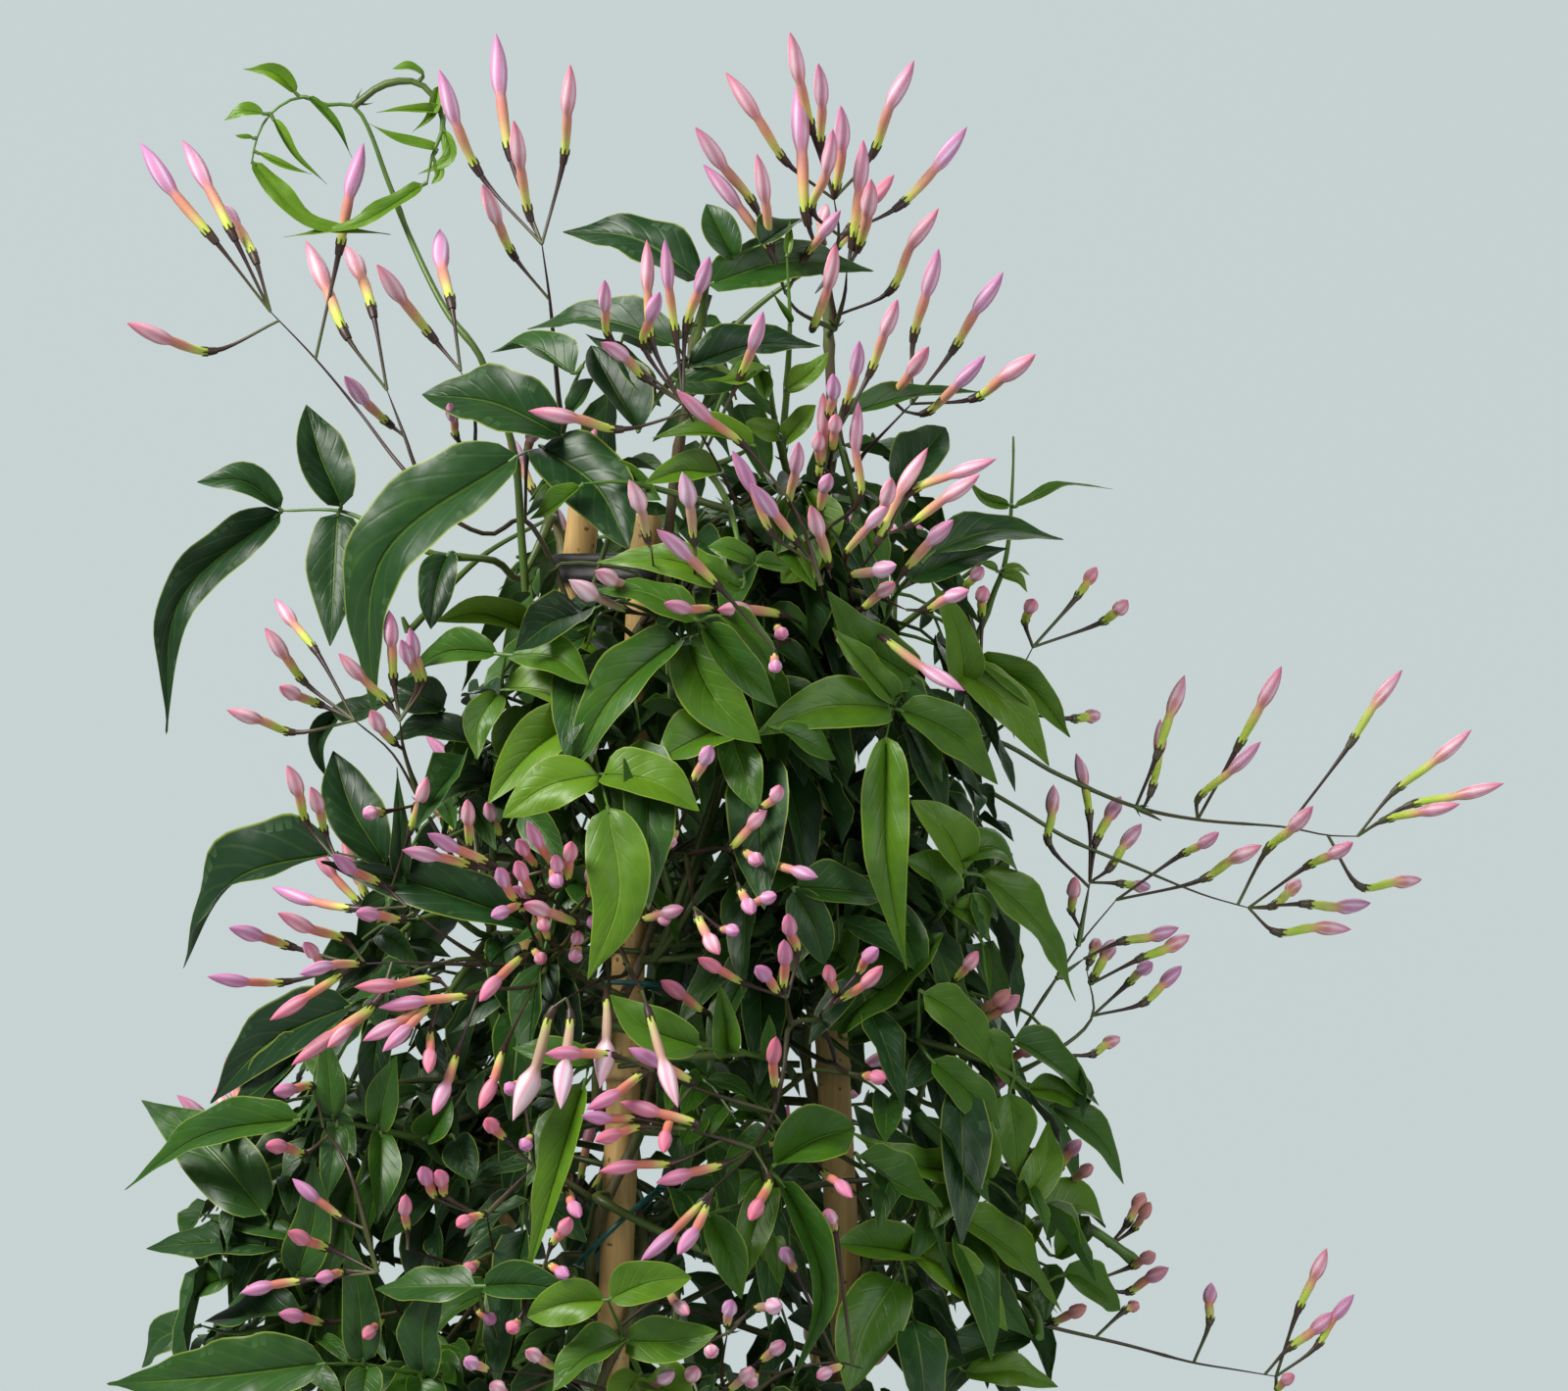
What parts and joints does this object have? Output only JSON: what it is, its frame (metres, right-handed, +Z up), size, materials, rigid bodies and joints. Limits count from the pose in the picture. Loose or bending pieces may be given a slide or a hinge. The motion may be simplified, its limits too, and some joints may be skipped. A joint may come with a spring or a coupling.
{
  "type": "potted pink jasmine",
  "caption": "Climbing house plant in a round pot: twining stems on three bamboo canes, small pointed leaves and sprays of long closed pink buds.",
  "frame": {"origin": "middle of the pot's flat base", "axes": "+Z up through the canes; the side drawn from the picture faces -Y, +X to its right"},
  "size_m": [0.335, 0.2086, 0.5264],
  "materials": {
    "pot": "satin dark brown",
    "soil": "rough, crumbly",
    "cane": "dry bamboo with dark flecks",
    "tie": "matt black",
    "wire": "thin green-blue plastic coating",
    "stem": "green bark",
    "leaf": "glossy leaf with a paler edge and midrib",
    "bud": "satin petals, pink with a peach tube and a yellow-green base"
  },
  "bodies": {
    "root": {"pot": "pot", "soil": "soil", "cane_left": "cane", "cane_middle": "cane", "cane_right": "cane", "cane_tie": "tie", "wire_tie_upper": "wire", "wire_tie_lower": "wire", "vine_left": "stem", "vine_middle_front": "stem", "vine_middle_back": "stem", "vine_right": "stem", "shoot_curled": "leaf", "shoot_left_top": "leaf", "shoot_left_far": "leaf", "shoot_top_middle": "leaf", "shoot_top_young": "leaf", "shoot_middle_high": "leaf", "shoot_middle": "leaf", "shoot_left_small": "leaf", "shoot_left_middle": "leaf", "shoot_right_upper": "leaf", "shoot_right_top": "leaf", "shoot_right_inner": "leaf", "shoot_right_middle": "leaf", "shoot_middle_low": "leaf", "shoot_right_centre": "leaf", "shoot_right_low": "leaf", "shoot_right_pruned": "leaf", "shoot_four_leaf": "leaf", "shoot_low_centre": "leaf", "shoot_left_bright": "leaf", "shoot_left_dark": "leaf", "shoot_left_low": "leaf", "shoot_left_bottom": "leaf", "spray_top_left": "bud", "spray_top_centre": "bud", "spray_upper_middle": "bud", "spray_pale": "bud", "spray_top_right": "bud", "spray_right_upper": "bud", "spray_centre_left": "bud", "spray_centre_top": "bud", "spray_centre_right": "bud", "spray_right_young": "bud", "spray_far_right": "bud", "spray_right_middle": "bud", "spray_left_middle": "bud", "spray_left_front": "bud", "spray_hanging": "bud", "spray_low_centre": "bud", "spray_middle": "bud", "spray_low_left": "bud", "spray_bottom": "bud", "spray_right_edge": "bud", "branch_back_left": "leaf", "branch_back_middle": "leaf", "branch_back_right": "leaf", "branch_low_front": "leaf"}
  },
  "joints": []
}
